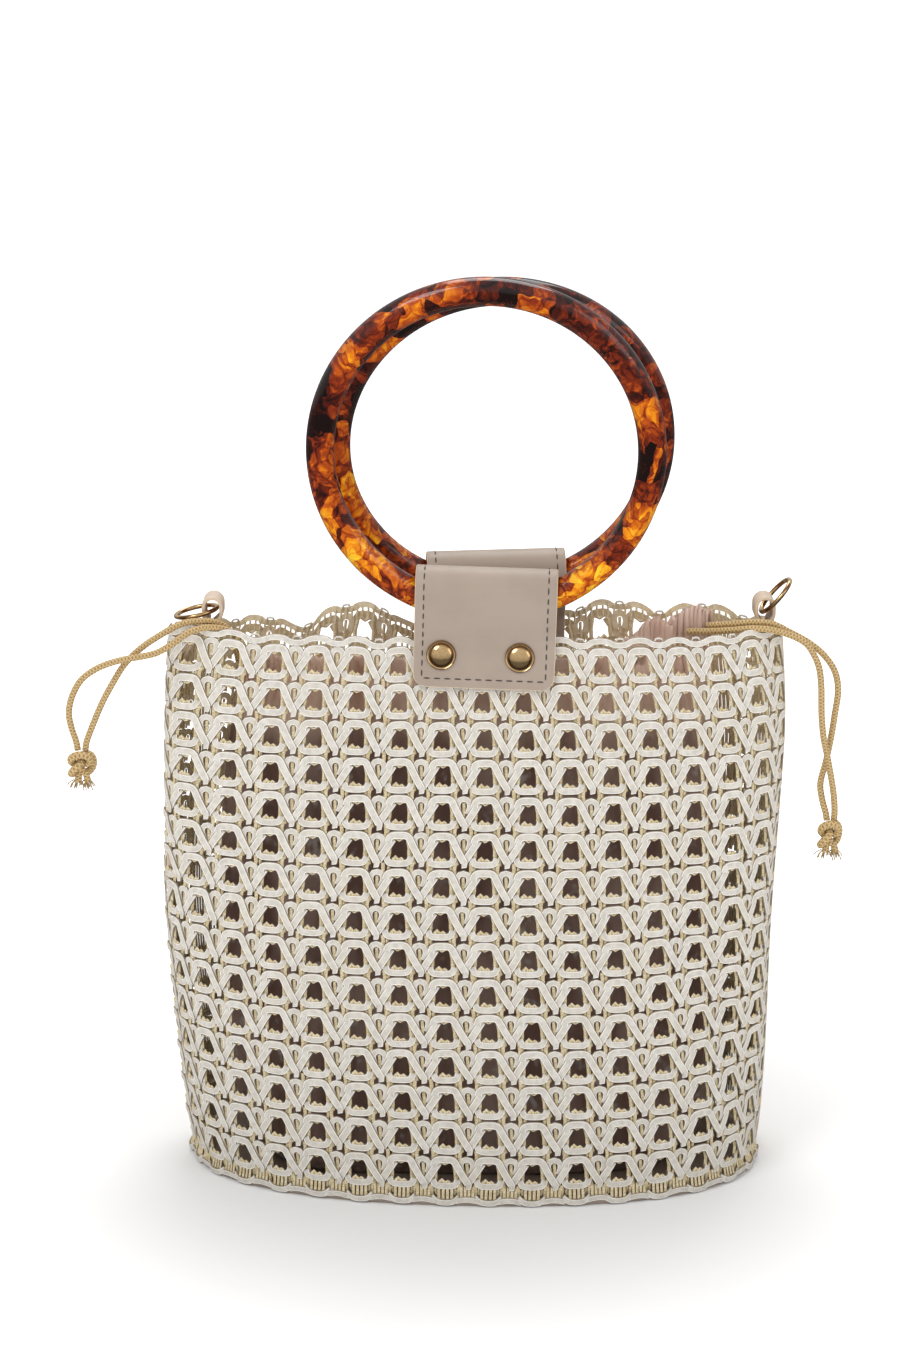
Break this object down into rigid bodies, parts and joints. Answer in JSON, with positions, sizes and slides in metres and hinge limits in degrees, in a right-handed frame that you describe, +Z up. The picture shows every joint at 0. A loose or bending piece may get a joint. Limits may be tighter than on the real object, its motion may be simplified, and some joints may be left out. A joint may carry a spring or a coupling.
{
  "type": "straw handbag",
  "caption": "Open-weave straw handbag with round resin ring handles, leather tabs and side loops, small metal strap rings and a drawstring fabric pouch inside.",
  "frame": {"origin": "middle of the leather base's underside, on the floor", "axes": "+Z up, front of the bag towards -Y, +X to the right seen from the front"},
  "size_m": [0.3333, 0.1326, 0.395],
  "materials": {
    "straw": "off-white satin ribbon, openwork weave",
    "leather": "smooth beige leather",
    "tortoiseshell": "polished tortoiseshell resin",
    "gold": "polished pale gold plating",
    "satin": "pinkish beige lining satin",
    "braid": "waxed tan braided cord"
  },
  "bodies": {
    "bag": {"weave_front": "straw", "weave_back": "straw", "side_strip_left": "leather", "side_strip_right": "leather", "base_panel": "leather", "pouch": "satin", "handle_tab_front": "leather", "handle_tab_back": "leather", "rivet_front_left": "gold", "rivet_front_right": "gold", "rivet_back_left": "gold", "rivet_back_right": "gold", "ring_loop_left": "leather", "ring_loop_right": "leather", "cord_left_a": "braid", "cord_left_b": "braid", "knot_left": "braid", "cord_right_a": "braid", "cord_right_b": "braid", "knot_right": "braid"},
    "front_ring": {"handle_ring_front": "tortoiseshell"},
    "back_ring": {"handle_ring_back": "tortoiseshell"},
    "left_strap_ring": {"strap_ring_left": "gold"},
    "right_strap_ring": {"strap_ring_right": "gold"}
  },
  "joints": [
    {"name": "front_ring_turn", "type": "hinge", "parent": "bag", "child": "front_ring", "pos_m": [0.00445, -0.02812, 0.32069], "axis": [0.0381, 0.9905, 0.1323], "continuous": true},
    {"name": "back_ring_turn", "type": "hinge", "parent": "bag", "child": "back_ring", "pos_m": [0.01023, 0.00256, 0.31911], "axis": [-0.0491, 0.9699, 0.2385], "continuous": true},
    {"name": "left_strap_ring_swing", "type": "hinge", "parent": "bag", "child": "left_strap_ring", "pos_m": [-0.11217, 0.00021, 0.248], "axis": [0, 1, 0], "range_deg": [-11, 171]},
    {"name": "right_strap_ring_swing", "type": "hinge", "parent": "bag", "child": "right_strap_ring", "pos_m": [0.12429, -0.0002, 0.248], "axis": [0, -1, 0], "range_deg": [-84, 110]}
  ]
}
